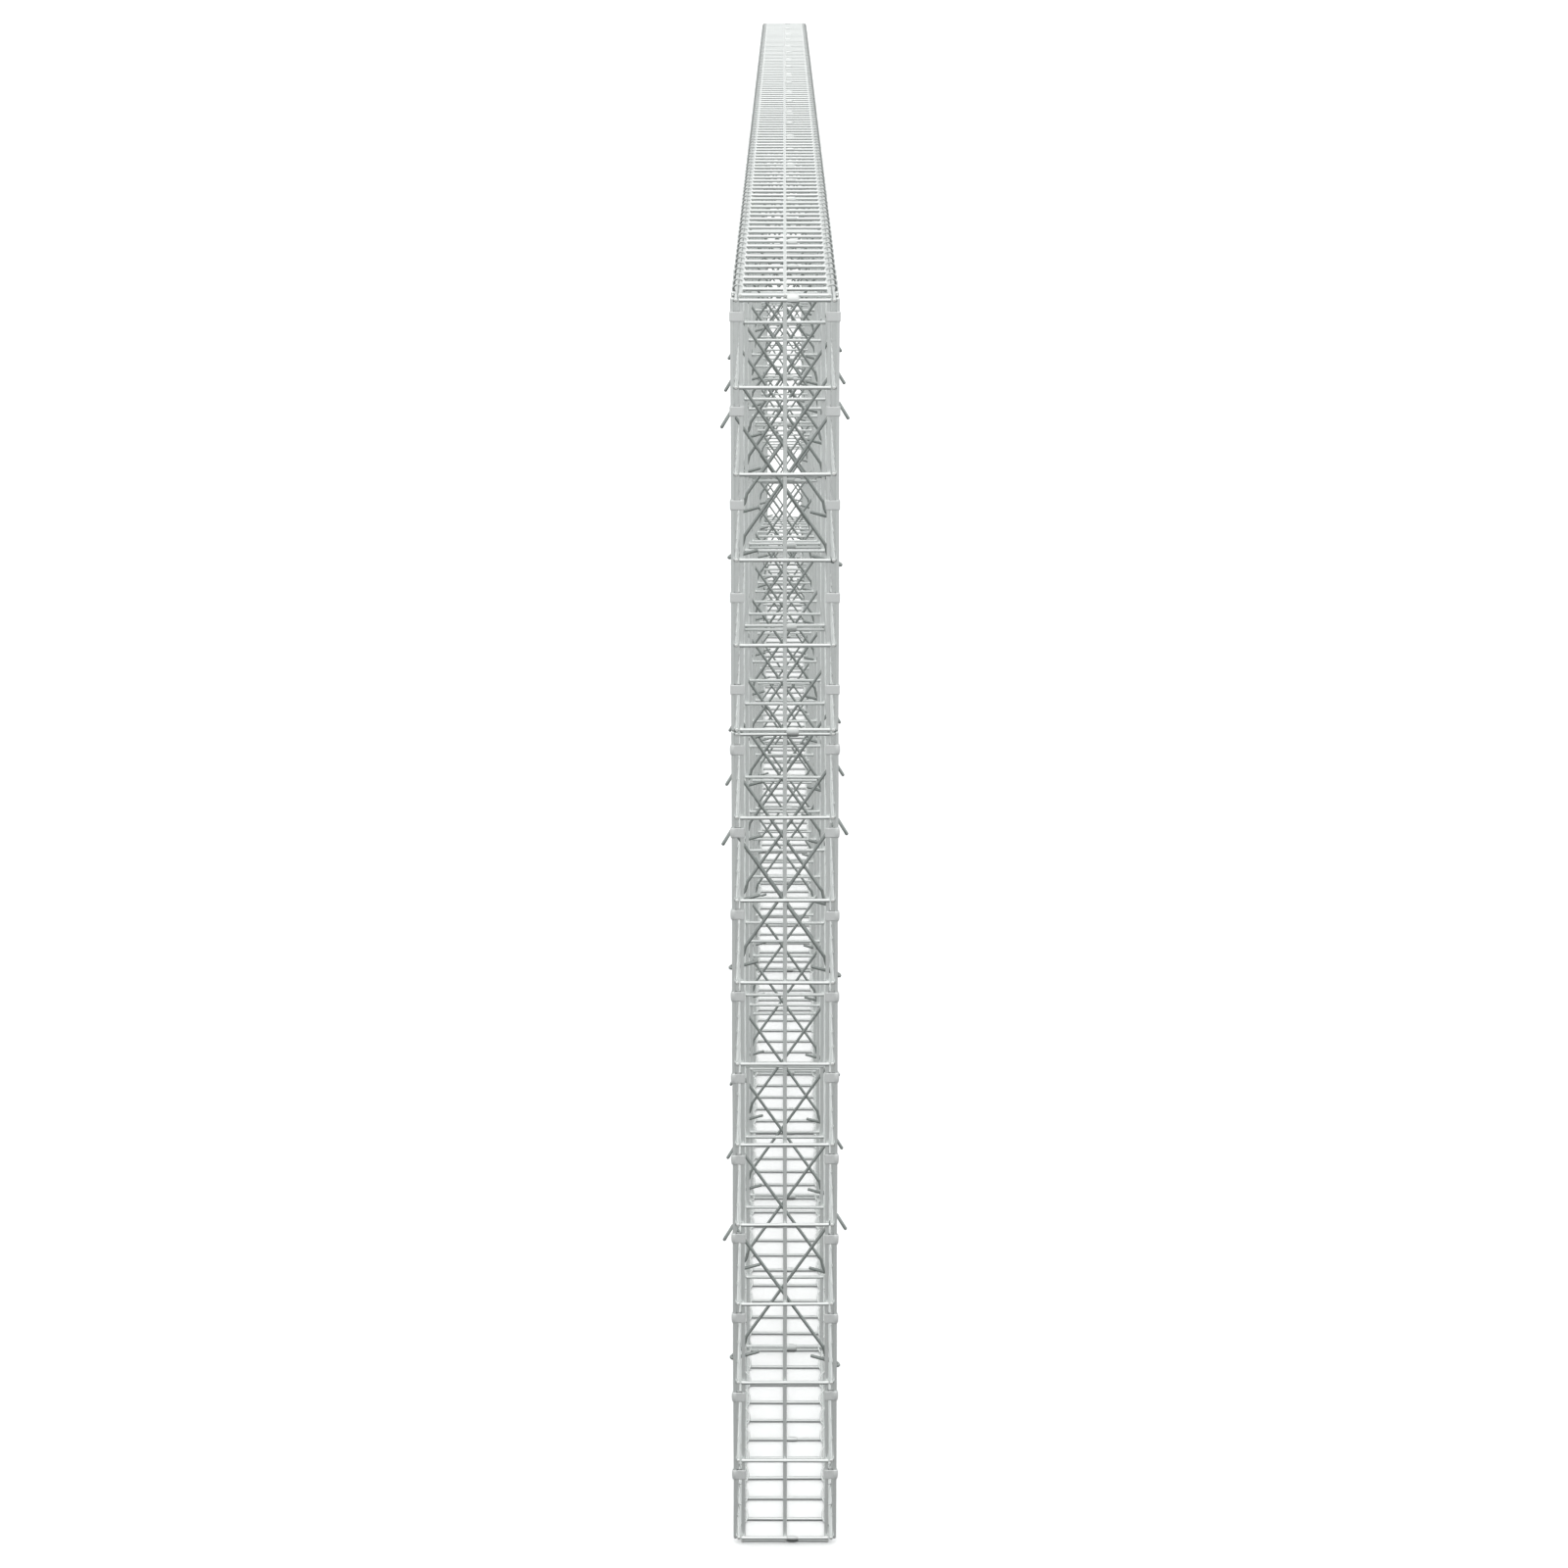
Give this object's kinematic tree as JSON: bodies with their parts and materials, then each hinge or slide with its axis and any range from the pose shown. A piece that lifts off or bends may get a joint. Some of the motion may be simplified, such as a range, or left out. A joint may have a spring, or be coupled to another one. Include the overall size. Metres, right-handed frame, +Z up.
{
  "type": "gabion wall cage",
  "caption": "Long, narrow, tall open cage of welded galvanised wire mesh for a stone-filled wall, stacked in tiers, with cross panels, a lid mat and crossed spacer rods.",
  "frame": {"origin": "on the ground at the middle of the base", "axes": "+Z up, +Y along the wall away from the near end, +X to the right when the near end is looked at"},
  "size_m": [0.1524, 5.5136, 1.5197],
  "materials": {
    "zinc_wire": "galvanised, light grey, satin",
    "spacer_wire": "galvanised, darker grey, satin"
  },
  "bodies": {
    "root": {"left_wall_lower_1": "zinc_wire", "left_wall_lower_2": "zinc_wire", "left_wall_lower_3": "zinc_wire", "left_wall_upper_1": "zinc_wire", "left_wall_upper_2": "zinc_wire", "left_wall_upper_3": "zinc_wire", "right_wall_lower_1": "zinc_wire", "right_wall_lower_2": "zinc_wire", "right_wall_lower_3": "zinc_wire", "right_wall_upper_1": "zinc_wire", "right_wall_upper_2": "zinc_wire", "right_wall_upper_3": "zinc_wire", "near_end_lower": "zinc_wire", "near_end_upper": "zinc_wire", "far_end_lower": "zinc_wire", "far_end_upper": "zinc_wire", "divider_01_lower": "zinc_wire", "divider_01_upper": "zinc_wire", "divider_02_lower": "zinc_wire", "divider_02_upper": "zinc_wire", "divider_03_lower": "zinc_wire", "divider_03_upper": "zinc_wire", "divider_04_lower": "zinc_wire", "divider_04_upper": "zinc_wire", "divider_05_lower": "zinc_wire", "divider_05_upper": "zinc_wire", "divider_06_lower": "zinc_wire", "divider_06_upper": "zinc_wire", "divider_07_lower": "zinc_wire", "divider_07_upper": "zinc_wire", "divider_08_lower": "zinc_wire", "divider_08_upper": "zinc_wire", "divider_09_lower": "zinc_wire", "divider_09_upper": "zinc_wire", "divider_10_lower": "zinc_wire", "divider_10_upper": "zinc_wire", "base_mat_1": "zinc_wire", "base_mat_2": "zinc_wire", "base_mat_3": "zinc_wire", "lid_mat_1": "zinc_wire", "lid_mat_2": "zinc_wire", "lid_mat_3": "zinc_wire", "spacer_low_falling": "spacer_wire", "spacer_low_rising": "spacer_wire", "spacer_middle_falling": "spacer_wire", "spacer_middle_rising": "spacer_wire", "spacer_high_falling": "spacer_wire", "spacer_high_rising": "spacer_wire"}
  },
  "joints": []
}
